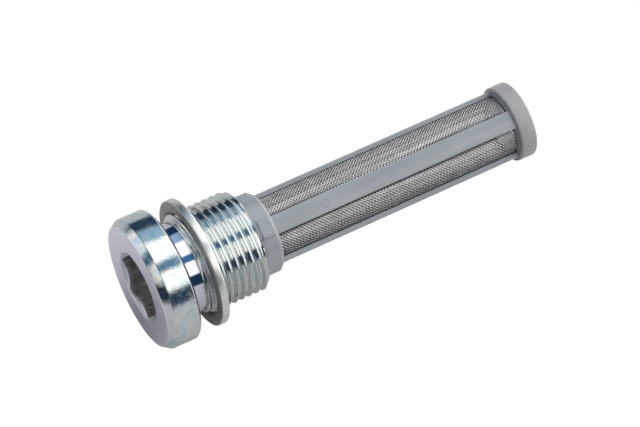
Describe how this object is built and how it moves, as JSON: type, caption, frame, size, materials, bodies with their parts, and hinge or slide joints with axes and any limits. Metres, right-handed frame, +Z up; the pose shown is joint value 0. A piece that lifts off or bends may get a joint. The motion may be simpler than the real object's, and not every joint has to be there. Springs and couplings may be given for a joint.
{
  "type": "strainer screw plug",
  "caption": "Hexagon-socket screw plug with a loose flat sealing washer and a clipped-in mesh strainer tube that screens oil or fuel at a tank or sump port.",
  "frame": {"origin": "centre of the sealing face under the head, on the screw axis", "axes": "+X along the screw axis from the head towards the strainer's open end, +Z up, +Y completes a right-handed frame; two corners of the hexagon socket point along +Y and -Y"},
  "size_m": [0.0818, 0.026, 0.026],
  "materials": {
    "zinc_plated_steel": "bright blue-white zinc plating over turned steel",
    "washer_metal": "matt punched aluminium, brushed on the rim",
    "moulded_plastic": "semi-matt moulded polyamide",
    "wire_mesh": "plain woven stainless wire cloth, laid on the bias",
    "seal_ring": "matt moulded elastomer"
  },
  "bodies": {
    "plug": {"screw_plug": "zinc_plated_steel"},
    "washer": {"sealing_washer": "washer_metal"},
    "strainer": {"strainer_cage": "moulded_plastic", "mesh_sleeve": "wire_mesh", "end_seal": "seal_ring"}
  },
  "joints": [
    {"name": "washer_slide", "type": "slide", "parent": "plug", "child": "washer", "axis": [1, 0, 0], "range_m": [-0.00443, 0.012]},
    {"name": "strainer_swivel", "type": "hinge", "parent": "plug", "child": "strainer", "pos_m": [0.0166, 0, 0], "axis": [1, 0, 0], "continuous": true}
  ]
}
